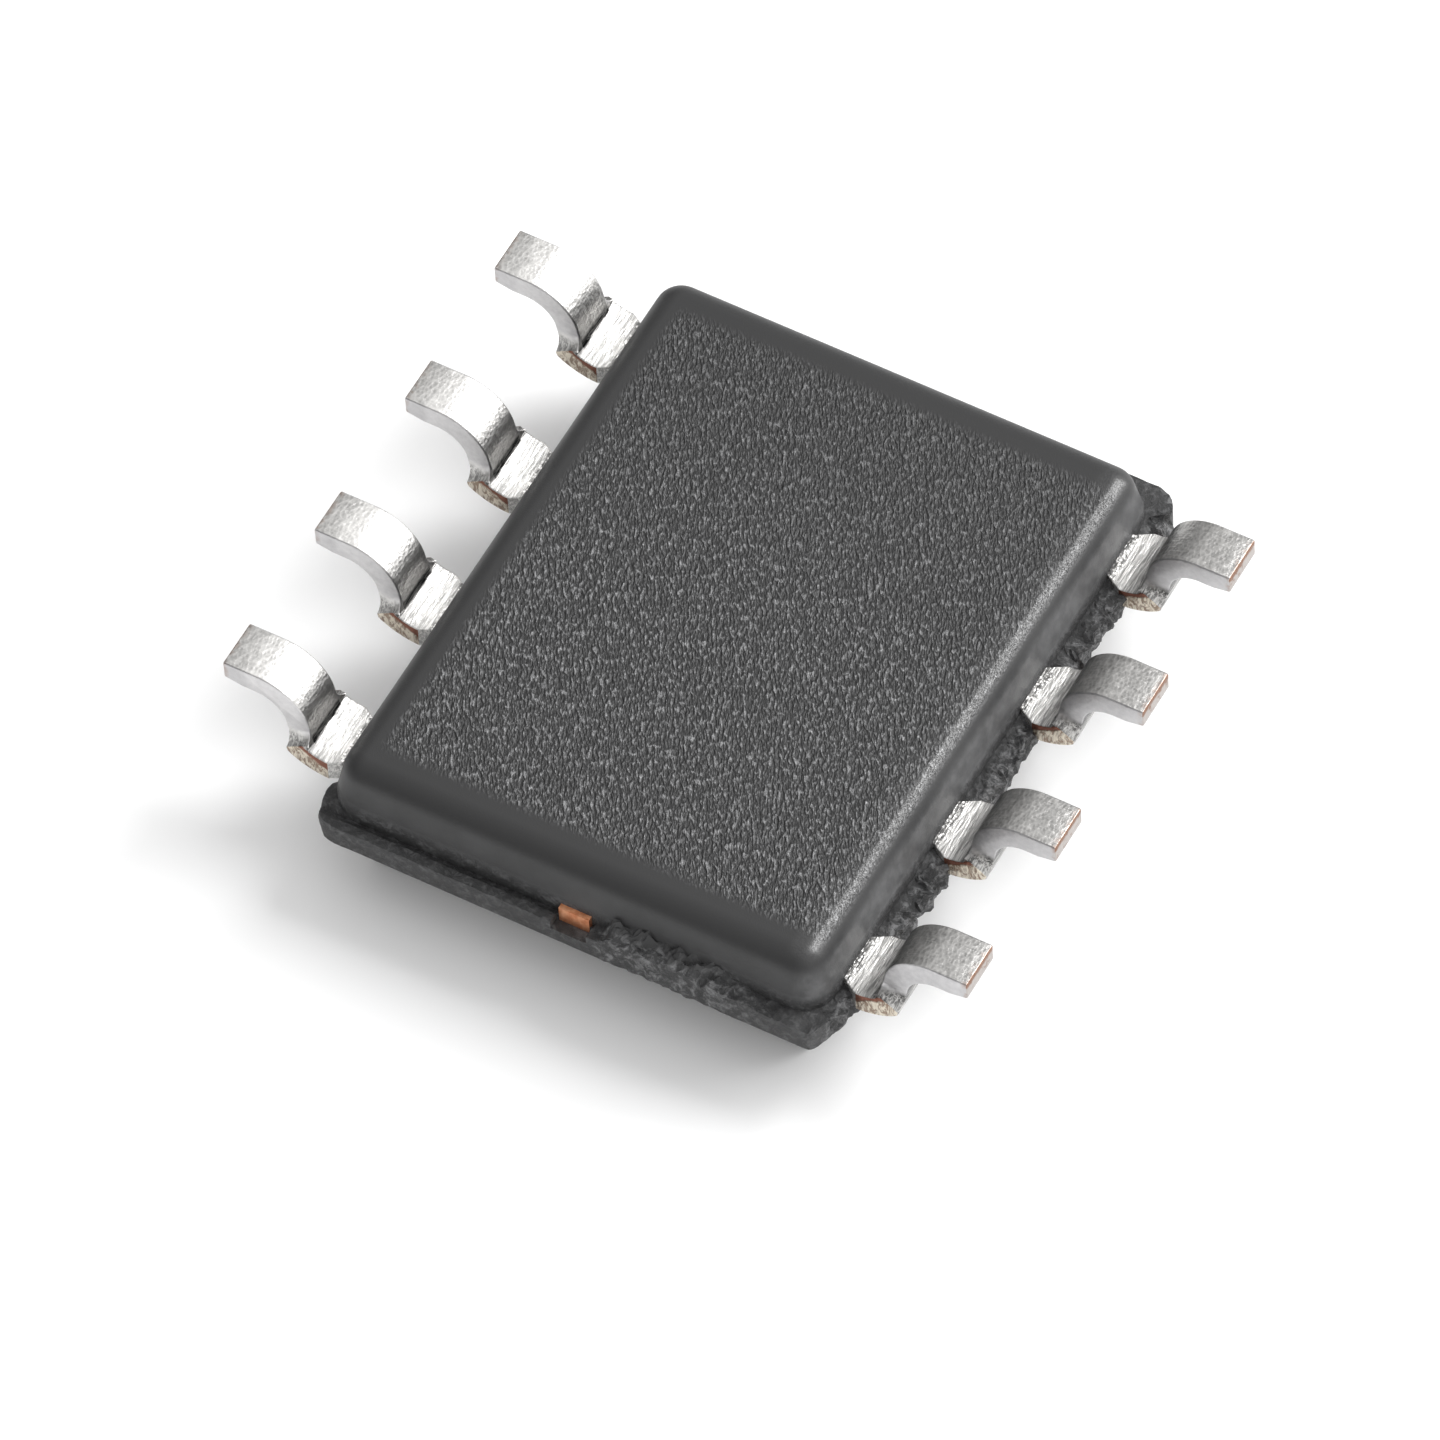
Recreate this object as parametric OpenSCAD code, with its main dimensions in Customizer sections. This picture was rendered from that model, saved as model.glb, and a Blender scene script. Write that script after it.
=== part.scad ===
// Small-outline integrated circuit, eight gull-wing leads, 1.27 mm pitch.
// The package lies on its marking face, feet up, with the lead rows along Y.
// All sizes are in millimetres, and z = 0 is the marking face.

/* [Moulded body] */
// length of the body along the lead rows, at the parting line
body_length = 4.9; // [4.7:0.05:5.9]
// width of the body between the lead rows, at the parting line
body_width = 3.9; // [3.2:0.05:4.7]
// depth of the marking half, from its face to the lead frame
marking_depth = 0.65; // [0.5:0.01:0.8]
// depth of the board half, from the lead frame to its face
board_depth = 0.39; // [0.3:0.01:0.5]
// draft of the walls of the marking half, in degrees
marking_draft = 17; // [7:1:19]
// draft of the walls of the board half, in degrees
board_draft = 13; // [7:1:15]
// rounding of the edge round the marking face
marking_edge = 0.1; // [0.04:0.01:0.14]
// rounding of the edge round the board-side face
board_edge = 0.18; // [0.08:0.01:0.2]
// radius of the marking half's corners, seen in plan
marking_corner = 0.3; // [0.28:0.01:0.4]
// radius of the board half's corners, seen in plan
board_corner = 0.25; // [0.24:0.01:0.4]
// radius of the round mark beside lead 1
dimple_radius = 0.3; // [0.2:0.05:0.45]
// depth of the round mark beside lead 1
dimple_depth = 0.05; // [0.02:0.01:0.1]
// distance of the round mark's middle from the body's side and end
dimple_inset = 0.9; // [0.8:0.05:1.2]

/* [Parting rim] */
// how far the rim stands out past each end of the body
rim_end = 0.14; // [0.05:0.01:0.2]
// how far the rim stands out between the leads of one row
rim_side = 0.12; // [0.02:0.01:0.2]
// how far the rim reaches below the lead frame
rim_drop = 0.08; // [0.02:0.01:0.12]
// how far the rim stops short of the lead frame's board side
rim_sink = 0.06; // [0:0.01:0.1]
// radius of the rim's corners, seen in plan
rim_corner = 0.2; // [0.1:0.01:0.3]
// length of the broken gate along the front end
gate_length = 1.1; // [0.6:0.05:1.4]
// height of the broken gate above the rim
gate_height = 0.05; // [0.02:0.01:0.06]
// width of the broken gate's sloping outer side
gate_slope = 0.055; // [0.03:0.005:0.08]
// distance of the broken gate from the tie bar's middle
gate_start = 0.2; // [0.16:0.02:0.4]

/* [Leads] */
// distance between the middles of neighbouring leads
lead_pitch = 1.27; // [1.05:0.01:1.3]
// thickness of the lead frame
frame_thickness = 0.19; // [0.15:0.01:0.24]
// width of each leg and foot
lead_width = 0.38; // [0.31:0.01:0.46]
// width of each shoulder where it leaves the body
neck_width = 0.39; // [0.36:0.01:0.44]
// width over the cut stubs of the dam bar
stub_width = 0.54; // [0.46:0.01:0.6]
// rise of the stubs' ends up the leg above the crease
stub_rise = 0.03; // [0.01:0.005:0.06]
// slope of the stubs' ends, in degrees
stub_slope = 29; // [20:1:36]
// radius of the fillet from each stub into the leg's side
stub_fillet = 0.1; // [0.06:0.01:0.14]
// distance from the body to the start of the ramp, where the stubs reach full width
ramp_start = 0.13; // [0.1:0.01:0.16]
// radius of the ramp's board side
ramp_radius = 0.28; // [0.22:0.01:0.34]
// turn of the ramp up to the crease under the leg, in degrees
ramp_turn = 33; // [26:1:36]
// distance from the body to the toe of each foot
lead_reach = 0.97; // [0.8:0.01:1.17]
// height of the feet above the board-side face
seat_gap = 0.17; // [0.1:0.01:0.25]
// lean of each leg away from the body, in degrees
leg_lean = 10; // [4:1:15]
// inside radius of the bend at the foot
foot_bend = 0.2; // [0.12:0.01:0.24]
// length of the sheared slope under the toe
toe_length = 0.14; // [0.08:0.01:0.2]
// rise of the sheared slope under the toe
toe_rise = 0.03; // [0.01:0.01:0.05]

/* [Inner leads and paddle] */
// reach of each inner lead into the body
finger_reach = 0.57; // [0.45:0.01:0.6]
// width of the anchor head of each inner lead
finger_width = 0.52; // [0.45:0.01:0.6]
// length of the anchor head of each inner lead
finger_head = 0.28; // [0.2:0.01:0.34]
// length of the slope from the anchor head down to the neck
finger_slope = 0.07; // [0.05:0.01:0.12]
// gap between the inner leads and the paddle
paddle_gap = 0.22; // [0.15:0.01:0.3]
// length of the paddle along the lead rows
paddle_length = 3.0; // [2.6:0.05:3.1]
// offset of the paddle from the leads, towards the board side
paddle_offset = 0.1; // [0.05:0.01:0.15]
// width of the tie bars
tie_width = 0.24; // [0.2:0.01:0.3]
// distance of the tie bars from the middle of the package
tie_shift = 0.05; // [0:0.01:0.1]
// how far each cut tie bar stands out past the body's end
tie_end = 0.04; // [0.02:0.01:0.08]
// clearance beside a tie bar in the rim's notch
notch_clearance = 0.02; // [0.01:0.005:0.04]
// height of the lip left in front of a tie bar's end
notch_lip = 0.045; // [0:0.005:0.08]

/* [Die and bonds] */
// length of the die along the lead rows
die_length = 1.9; // [1.5:0.05:2.2]
// width of the die across the package
die_width = 1.5; // [1.2:0.05:1.7]
// thickness of the die
die_thickness = 0.25; // [0.2:0.01:0.28]
// thickness of the glue under the die
glue_thickness = 0.025; // [0.02:0.005:0.04]
// how far the glue spreads past the die's edges
glue_spread = 0.06; // [0.02:0.01:0.1]
// radius of the bond wires
wire_radius = 0.0125; // [0.01:0.0005:0.015]
// radius of the ball at the die end of each wire
ball_radius = 0.035; // [0.025:0.005:0.045]
// height of the ball at the die end of each wire
ball_height = 0.02; // [0.015:0.005:0.03]
// straight rise of each wire above its pad
wire_rise = 0.1; // [0.06:0.01:0.12]
// radius of the rounded knee at the top of each wire's loop
knee_radius = 0.018; // [0.016:0.001:0.025]
// radius of the stitch on each inner lead
stitch_radius = 0.03; // [0.025:0.005:0.04]
// thickness of the stitch on each inner lead
stitch_thickness = 0.025; // [0.02:0.005:0.03]
// distance of the bond pads from the die's edge
pad_inset = 0.12; // [0.08:0.01:0.2]
// distance of the stitches from the inner leads' ends
stitch_inset = 0.12; // [0.08:0.01:0.2]

/* [Hidden] */
$fn = 48;
eps = 0.01;
// leads in each row
row_leads = 4;
frame_low = marking_depth;
frame_high = frame_low + frame_thickness;
body_high = frame_high + board_depth;
foot_high = body_high + seat_gap;
side = body_width / 2;
end = body_length / 2;
rim_low = frame_low - rim_drop;
rim_high = frame_high - rim_sink;
outward = [cos(leg_lean), -sin(leg_lean)];
upward = [sin(leg_lean), cos(leg_lean)];
// middle of the ramp's arcs and the crease where its board side meets the leg
ramp_centre = [side + ramp_start, frame_high + ramp_radius];
crease = polar(ramp_centre, ramp_radius, ramp_turn - 90);
// turn at which the ramp's marking side meets the leg's outer face
outer_span = frame_thickness + ramp_radius * sin(ramp_turn + leg_lean);
outer_turn = asin(outer_span / (ramp_radius + frame_thickness)) - leg_lean;
// middle of the foot bend
bend_reach = frame_thickness + foot_bend;
leg_rise = foot_high - bend_reach - crease[1] + bend_reach * sin(leg_lean);
bend_two = crease + bend_reach * outward + leg_rise / cos(leg_lean) * upward;
// corner of each stub's end on the leg's inner face
stub_corner = crease + stub_rise * upward;
stub_overhang = (stub_width - lead_width) / 2;
arc_steps = 12;
toe = side + lead_reach;
// inner parts
finger_end = side - finger_reach;
paddle_side = finger_end - paddle_gap;
paddle_low = frame_low + paddle_offset;
glue_low = paddle_low - glue_thickness;
die_low = glue_low - die_thickness;
pad_x = die_width / 2 - pad_inset;
stitch_x = finger_end + stitch_inset;

// point at a distance from a centre, in a direction in degrees
function polar(centre, distance, angle) = centre + distance * [cos(angle), sin(angle)];

// side of a lead: leads 1 to 4 are at -X, leads 5 to 8 at +X
function lead_side(number) = number <= row_leads ? -1 : 1;

// place of a lead along its row; the numbers run round the package
function lead_step(number) = number <= row_leads ? number - 1 : 2 * row_leads - number;
function lead_y(number) = (lead_step(number) - (row_leads - 1) / 2) * lead_pitch;

// place of a bond pad along the die: the pads are closer together than the leads
function pad_y(number) = lead_y(number) * (die_length / 2 - pad_inset) / ((row_leads - 1) / 2 * lead_pitch);

// points along an arc, from one direction to another
function arc(centre, radius, from, to) = [
    for (step = [0:arc_steps]) polar(centre, radius, from + (to - from) * step / arc_steps)
];

// section of one moulded half, from its middle out to the wall, standing on the lead frame
module half_section(reach, depth, draft, edge) {
    flat = reach - depth * tan(draft) - edge * tan(45 - draft / 2);
    polygon(concat(
        [[0, 0], [reach, 0]],
        arc([flat, depth - edge], edge, draft, 90),
        [[0, depth]]
    ));
}

// smallest corner radius, seen in plan, that leaves a point of the flat face inside it
function least_corner(depth, draft, edge) = depth * tan(draft) + edge * tan(45 - draft / 2) + eps;

// one moulded half with four drafted walls, round corners and a rounded edge
module moulded_half(depth, draft, edge, plan_corner) {
    corner = max(plan_corner, least_corner(depth, draft, edge));
    rotate([90, 0, 0])
        linear_extrude(height = body_length - 2 * corner, center = true) {
            half_section(side, depth, draft, edge);
            mirror([1, 0])
                half_section(side, depth, draft, edge);
        }
    rotate([90, 0, 90])
        linear_extrude(height = body_width - 2 * corner, center = true) {
            half_section(end, depth, draft, edge);
            mirror([1, 0])
                half_section(end, depth, draft, edge);
        }
    for (quarter = [0:3]) {
        across = quarter == 0 || quarter == 3 ? 1 : -1;
        along = quarter < 2 ? 1 : -1;
        translate([across * (side - corner), along * (end - corner), 0])
            rotate([0, 0, 90 * quarter])
                rotate_extrude(angle = 90)
                    half_section(corner, depth, draft, edge);
    }
}

// plan of a rectangle with round corners, given by its limits
module rounded_plan(left, right, reach, corner) {
    translate([left + corner, -reach])
        square([right - left - 2 * corner, 2 * reach]);
    translate([left, -reach + corner])
        square([right - left, 2 * (reach - corner)]);
    for (x = [left + corner, right - corner])
        for (y = [-reach + corner, reach - corner])
            translate([x, y])
                circle(r = corner);
}

// rim of moulding compound left round the parting line
module parting_rim() {
    translate([0, 0, rim_low])
        linear_extrude(height = rim_high - rim_low)
            rounded_plan(-side, side + rim_side, end + rim_end, rim_corner);
}

// broken gate: a low ridge on the front rim, sloping out from the wall
module broken_gate() {
    translate([tie_shift + gate_start, 0, 0])
        rotate([90, 0, 90])
            linear_extrude(height = gate_length)
                polygon([
                    [-end - rim_end, rim_high],
                    [-end - rim_end + gate_slope, rim_high + gate_height],
                    [-end + eps, rim_high + gate_height],
                    [-end + eps, rim_high]
                ]);
}

// notch in the rim where a tie bar was cut off
module tie_notch() {
    half_notch = tie_width / 2 + notch_clearance;
    translate([tie_shift - half_notch, end + tie_end, frame_low + notch_lip])
        cube([2 * half_notch, rim_end, frame_thickness]);
}

// everything that the compound flowed round
module inserts() {
    for (number = [1:2 * row_leads]) {
        lead(number);
        bond_wire(number);
    }
    paddle();
    glue();
    die();
}

// moulded body, open exactly where the leads, the paddle, the die and the wires lie in it
module body() {
    color([0.22, 0.22, 0.23])
        difference() {
            union() {
                translate([0, 0, frame_high])
                    moulded_half(board_depth, board_draft, board_edge, board_corner);
                translate([0, 0, frame_low])
                    linear_extrude(height = frame_thickness)
                        rounded_plan(-side, side, end, board_corner);
                translate([0, 0, frame_low])
                    mirror([0, 0, 1])
                        moulded_half(marking_depth, marking_draft, marking_edge, marking_corner);
                parting_rim();
                broken_gate();
            }
            tie_notch();
            mirror([0, 1, 0])
                tie_notch();
            translate([-side + dimple_inset, -end + dimple_inset, -eps])
                cylinder(r = dimple_radius, h = dimple_depth + eps);
            inserts();
        }
}

// section of one lead's sheet, from a place on the flat shoulder to the toe
module lead_section(start) {
    polygon(concat(
        [[start, frame_high]],
        arc(ramp_centre, ramp_radius, -90, ramp_turn - 90),
        arc(bend_two, bend_reach, 180 - leg_lean, 90),
        [
            [toe, foot_high],
            [toe, foot_high - frame_thickness + toe_rise],
            [toe - toe_length, foot_high - frame_thickness]
        ],
        arc(bend_two, foot_bend, 90, 180 - leg_lean),
        arc(ramp_centre, ramp_radius + frame_thickness, outer_turn - 90, -90),
        [[start, frame_low]]
    ));
}

// space beside one leg, above a stub's sloping end and its fillet
module leg_clearance() {
    fillet_reach = min(stub_overhang, stub_fillet);
    fillet_turn = acos(1 - fillet_reach / stub_fillet);
    translate([stub_corner[0], lead_width / 2, stub_corner[1]])
        rotate([0, stub_slope, 0])
            rotate([90, 0, 90])
                linear_extrude(height = 2 * lead_reach, center = true)
                    polygon(concat(
                        arc([stub_fillet, stub_fillet * sin(fillet_turn)], stub_fillet, 180, 180 + fillet_turn),
                        [
                            [stub_overhang + eps, 0],
                            [stub_overhang + eps, lead_reach],
                            [0, lead_reach]
                        ]
                    ));
}

// space beside one shoulder, where it widens from the body to the stubs
module neck_clearance() {
    translate([side, 0, frame_low - eps])
        linear_extrude(height = frame_thickness + 2 * eps)
            polygon([
                [-2 * eps, neck_width / 2],
                [0, neck_width / 2],
                [ramp_start, stub_width / 2],
                [ramp_start, stub_width / 2 + eps],
                [-2 * eps, stub_width / 2 + eps]
            ]);
}

// the part of a lead outside the body, as wide as the stubs where nothing is cut away
module formed_lead() {
    difference() {
        rotate([90, 0, 0])
            linear_extrude(height = stub_width, center = true)
                lead_section(side - eps);
        for (turn = [0, 1])
            mirror([0, turn, 0]) {
                leg_clearance();
                neck_clearance();
            }
    }
}

// plan of the part of a lead inside the body, with its anchor head
module finger_plan() {
    head_end = finger_end + finger_head;
    polygon([
        [finger_end, -finger_width / 2],
        [head_end, -finger_width / 2],
        [head_end + finger_slope, -neck_width / 2],
        [side, -neck_width / 2],
        [side, neck_width / 2],
        [head_end + finger_slope, neck_width / 2],
        [head_end, finger_width / 2],
        [finger_end, finger_width / 2]
    ]);
}

// one lead, from its anchor head to the toe of its foot
module lead(number) {
    color([0.78, 0.78, 0.77])
        translate([0, lead_y(number), 0])
            rotate([0, 0, lead_side(number) > 0 ? 0 : 180]) {
                translate([0, 0, frame_low])
                    linear_extrude(height = frame_thickness)
                        finger_plan();
                formed_lead();
            }
}

// side view of the paddle's tie bar, from the paddle out to its cut end
module tie_section() {
    low = paddle_length / 2 - eps;
    polygon([
        [low, paddle_low],
        [paddle_length / 2, paddle_low],
        [paddle_length / 2 + 2 * paddle_offset, frame_low],
        [end + tie_end, frame_low],
        [end + tie_end, frame_high],
        [paddle_length / 2 + 2 * paddle_offset, frame_high],
        [paddle_length / 2, paddle_low + frame_thickness],
        [low, paddle_low + frame_thickness]
    ]);
}

// die paddle with a tie bar to each end of the package
module paddle() {
    color([0.72, 0.45, 0.3]) {
        translate([-paddle_side, -paddle_length / 2, paddle_low])
            cube([2 * paddle_side, paddle_length, frame_thickness]);
        for (turn = [0, 1])
            mirror([0, turn, 0])
                translate([tie_shift, 0, 0])
                    rotate([90, 0, 90])
                        linear_extrude(height = tie_width, center = true)
                            tie_section();
    }
}

// layer of glue between the paddle and the die
module glue() {
    wide = die_width + 2 * glue_spread;
    long = die_length + 2 * glue_spread;
    color([0.6, 0.6, 0.62])
        translate([-wide / 2, -long / 2, glue_low])
            cube([wide, long, glue_thickness]);
}

// silicon die, its active face towards the marking side
module die() {
    color([0.35, 0.36, 0.4])
        translate([-die_width / 2, -die_length / 2, die_low])
            cube([die_width, die_length, die_thickness]);
}

// ball on its pad and the straight wire above it, turned in one piece
module ball_bond() {
    rotate_extrude()
        polygon([
            [0, 0],
            [ball_radius, 0],
            [ball_radius, ball_height],
            [wire_radius, ball_height],
            [wire_radius, wire_rise],
            [0, wire_rise]
        ]);
}

// one bond wire from a pad on the die to an inner lead, built upside down over its pad
module wire_loop(span, drop) {
    target = [span, -drop + stitch_thickness / 2];
    reach = target - [0, wire_rise];
    ball_bond();
    translate([0, 0, wire_rise])
        sphere(r = knee_radius);
    translate([0, 0, wire_rise])
        rotate([0, 90 - atan2(reach[1], reach[0]), 0])
            cylinder(r = wire_radius, h = norm(reach));
    translate([span, 0, -drop])
        cylinder(r = stitch_radius, h = stitch_thickness);
}

// bond wire of one lead
module bond_wire(number) {
    across = lead_side(number);
    start = [across * pad_x, pad_y(number)];
    finish = [across * stitch_x, lead_y(number)];
    heading = atan2(finish[1] - start[1], finish[0] - start[0]);
    color([0.9, 0.72, 0.3])
        translate([start[0], start[1], die_low])
            rotate([0, 0, heading])
                mirror([0, 0, 1])
                    wire_loop(norm(finish - start), frame_low - die_low);
}

body();
lead(1);  // lead_1
lead(2);  // lead_2
lead(3);  // lead_3
lead(4);  // lead_4
lead(5);  // lead_5
lead(6);  // lead_6
lead(7);  // lead_7
lead(8);  // lead_8
paddle();  // die_paddle
glue();  // die_attach
die();  // silicon_die
bond_wire(1);  // bond_wire_1
bond_wire(2);  // bond_wire_2
bond_wire(3);  // bond_wire_3
bond_wire(4);  // bond_wire_4
bond_wire(5);  // bond_wire_5
bond_wire(6);  // bond_wire_6
bond_wire(7);  // bond_wire_7
bond_wire(8);  // bond_wire_8
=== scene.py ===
import math

import bmesh
import bpy
from mathutils import Matrix, Vector, noise


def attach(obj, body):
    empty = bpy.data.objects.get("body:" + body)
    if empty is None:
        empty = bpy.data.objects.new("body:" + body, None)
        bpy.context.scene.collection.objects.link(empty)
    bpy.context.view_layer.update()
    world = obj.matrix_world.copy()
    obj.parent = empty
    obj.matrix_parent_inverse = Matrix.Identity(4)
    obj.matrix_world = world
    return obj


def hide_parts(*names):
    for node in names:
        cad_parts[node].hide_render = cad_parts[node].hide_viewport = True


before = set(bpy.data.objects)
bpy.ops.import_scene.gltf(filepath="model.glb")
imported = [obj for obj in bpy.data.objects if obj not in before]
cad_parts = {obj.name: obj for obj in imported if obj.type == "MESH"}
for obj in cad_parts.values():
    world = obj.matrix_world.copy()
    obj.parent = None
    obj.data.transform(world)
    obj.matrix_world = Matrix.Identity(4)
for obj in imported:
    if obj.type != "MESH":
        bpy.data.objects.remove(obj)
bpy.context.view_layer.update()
print("frame loaded:", len(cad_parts), "nodes")

# the pieces are modelled in millimetres and degrees, and scaled to metres when they are finished
millimetre = 0.001
samePlace = 0.002  # places closer than this, in millimetres, count as one


def deselectAll():
    if bpy.context.object and bpy.context.object.mode != "OBJECT":
        bpy.ops.object.mode_set(mode="OBJECT")
    bpy.ops.object.select_all(action="DESELECT")


def makeActive(piece):
    deselectAll()
    piece.select_set(True)
    bpy.context.view_layer.objects.active = piece


def addBlock(name, low, high):
    # a cube primitive between two corners
    deselectAll()
    middle = [(a + b) / 2 for a, b in zip(low, high)]
    bpy.ops.mesh.primitive_cube_add(size=1, location=middle)
    piece = bpy.context.object
    piece.scale = [b - a for a, b in zip(low, high)]
    bpy.ops.object.transform_apply(location=True, rotation=True, scale=True)
    piece.name = piece.data.name = name
    return piece


def editMode():
    bpy.ops.object.mode_set(mode="EDIT")
    bpy.ops.mesh.select_all(action="DESELECT")


def objectMode():
    bpy.ops.object.mode_set(mode="OBJECT")


def pickParts(kind, test):
    # selects the vertices, edges or faces that pass a test
    bpy.ops.mesh.select_all(action="DESELECT")
    bpy.ops.mesh.select_mode(type=kind)
    mesh = bmesh.from_edit_mesh(bpy.context.object.data)
    for part in {"VERT": mesh.verts, "EDGE": mesh.edges, "FACE": mesh.faces}[kind]:
        if test(part):
            part.select_set(True)
    mesh.select_flush_mode()
    bmesh.update_edit_mesh(bpy.context.object.data)


def edgeMiddle(edge):
    return (edge.verts[0].co + edge.verts[1].co) / 2


def faceMiddle(face):
    return face.calc_center_median()


def near(a, b):
    return abs(a - b) < samePlace


def cutAcross(point, normal):
    # bisects the whole mesh with a plane and keeps both halves
    bpy.ops.mesh.select_all(action="SELECT")
    bpy.ops.mesh.bisect(plane_co=point, plane_no=normal)


def applyModifier(piece, kind, **settings):
    makeActive(piece)
    modifier = piece.modifiers.new(kind.lower(), kind)
    for key, value in settings.items():
        setattr(modifier, key, value)
    bpy.ops.object.modifier_apply(modifier=modifier.name)


def subtract(piece, cutter):
    applyModifier(piece, "BOOLEAN", operation="DIFFERENCE", object=cutter, solver="MANIFOLD")
    bpy.data.objects.remove(cutter)


def dress(mesh, material):
    mesh.materials.clear()
    mesh.materials.append(material)


def finishPiece(piece, node, sharpest):
    # scales a piece to metres, smooths it and lets it stand for its node
    makeActive(piece)
    piece.scale = (millimetre,) * 3
    bpy.ops.object.transform_apply(location=True, rotation=True, scale=True)
    bpy.ops.object.shade_smooth_by_angle(angle=math.radians(sharpest))
    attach(piece, "root")
    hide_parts(node)


# the camera comes first, because its place doesn't depend on the pieces
camera = {
    "target": (0.103, -0.523, 0.7),
    "distance": 110.0,
    "azimuth": -32.31,
    "elevation": 54.99,
    "roll": -4.068,
    "lens": 397.15,
    "sensor": 36,
    "clip": (0.001, 10),  # metres
}


def addCamera():
    a, e, r = (math.radians(camera[key]) for key in ("azimuth", "elevation", "roll"))
    forward = Vector((math.sin(a) * math.cos(e), math.cos(a) * math.cos(e), -math.sin(e)))
    right = Vector((math.cos(a), -math.sin(a), 0))
    up = right.cross(forward)
    across = math.cos(r) * right + math.sin(r) * up
    upright = -math.sin(r) * right + math.cos(r) * up
    place = (Vector(camera["target"]) - forward * camera["distance"]) * millimetre
    deselectAll()
    bpy.ops.object.camera_add(location=place)
    view = bpy.context.object
    view.name = "mainCamera"
    turn = Matrix((across, upright, -forward)).transposed()
    view.rotation_euler = turn.to_euler()
    view.data.lens = camera["lens"]
    view.data.sensor_width = camera["sensor"]
    view.data.clip_start, view.data.clip_end = camera["clip"]
    bpy.context.scene.camera = view


addCamera()
print("camera placed")


class Signal:
    # a node's output that can be used in sums
    def __init__(self, finish, socket):
        self.finish = finish
        self.socket = socket

    def sum(self, operation, *values):
        return self.finish.add("Math", {"operation": operation}, dict(enumerate(values)))

    def __add__(self, other):
        return self.sum("ADD", self, other)

    def __radd__(self, other):
        return self.sum("ADD", other, self)

    def __sub__(self, other):
        return self.sum("SUBTRACT", self, other)

    def __rsub__(self, other):
        return self.sum("SUBTRACT", other, self)

    def __mul__(self, other):
        return self.sum("MULTIPLY", self, other)

    def __rmul__(self, other):
        return self.sum("MULTIPLY", other, self)

    def __truediv__(self, other):
        return self.sum("DIVIDE", self, other)

    def rest(self):
        # the part after the decimal point
        return self.sum("FRACT", self)

    def size(self):
        return self.sum("ABSOLUTE", self)

    def most(self, other):
        return self.sum("MAXIMUM", self, other)

    def least(self, other):
        return self.sum("MINIMUM", self, other)

    def ramp(self, low, high):
        # 0 at low and 1 at high, smooth between; the two may be in either order
        return self.finish.add(
            "MapRange",
            {"interpolation_type": "SMOOTHSTEP"},
            {"Value": self, "From Min": low, "From Max": high, "To Min": 0.0, "To Max": 1.0},
        )


def opaque(colour):
    # a fixed colour gets its fourth value
    return colour if isinstance(colour, Signal) else (*colour, 1)


class Finish:
    # the nodes of one material, or of the world
    def __init__(self, name, holder=None):
        self.holder = holder or bpy.data.materials.new(name)
        self.holder.use_nodes = True
        self.tree = self.holder.node_tree
        self.tree.nodes.clear()

    def add(self, kind, settings=None, values=None, output=0):
        node = self.tree.nodes.new("ShaderNode" + kind)
        for key, value in (settings or {}).items():
            setattr(node, key, value)
        for key, value in (values or {}).items():
            if isinstance(value, Signal):
                self.tree.links.new(value.socket, node.inputs[key])
            else:
                node.inputs[key].default_value = value
        return Signal(self, node.outputs[output]) if node.outputs else None

    def place(self):
        # the surface point in millimetres
        point = self.add("TexCoord", output="Object")
        return self.add("VectorMath", {"operation": "SCALE"}, {0: point, "Scale": 1 / millimetre})

    def axes(self, point):
        split = self.add("SeparateXYZ", None, {0: point}).socket.node
        return [Signal(self, output) for output in split.outputs]

    def stretch(self, point, scale):
        return self.add("Mapping", None, {"Vector": point, "Scale": scale})

    def slant(self, point, angle, scale):
        # the pattern turned about Z, then drawn out along its own axes
        values = {"Vector": point, "Rotation": (0, 0, math.radians(angle)), "Scale": scale}
        return self.add("Mapping", {"vector_type": "TEXTURE"}, values)

    def blend(self, mask, first, second):
        # the first colour where the mask is 0, the second where it is 1
        values = {"Factor": mask, 6: opaque(first), 7: opaque(second)}
        return self.add("Mix", {"data_type": "RGBA"}, values, 2)

    def grain(self, point, scale, detail, roughness=0.5, distortion=0.0):
        values = {"Vector": point, "Scale": scale, "Detail": detail}
        values.update({"Roughness": roughness, "Distortion": distortion})
        return self.add("TexNoise", None, values)

    def cells(self, point, scale):
        return self.add("TexVoronoi", {"feature": "F1"}, {"Vector": point, "Scale": scale})

    def bump(self, height, depth, strength=1.0):
        values = {"Strength": strength, "Distance": depth * millimetre, "Height": height}
        return self.add("Bump", None, values)

    def surface(self, **values):
        named = {key.replace("_", " "): value for key, value in values.items()}
        named["Base Color"] = opaque(named["Base Color"])
        shader = self.add("BsdfPrincipled", None, named)
        self.add("OutputMaterial", None, {"Surface": shader})
        return self.holder


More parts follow.
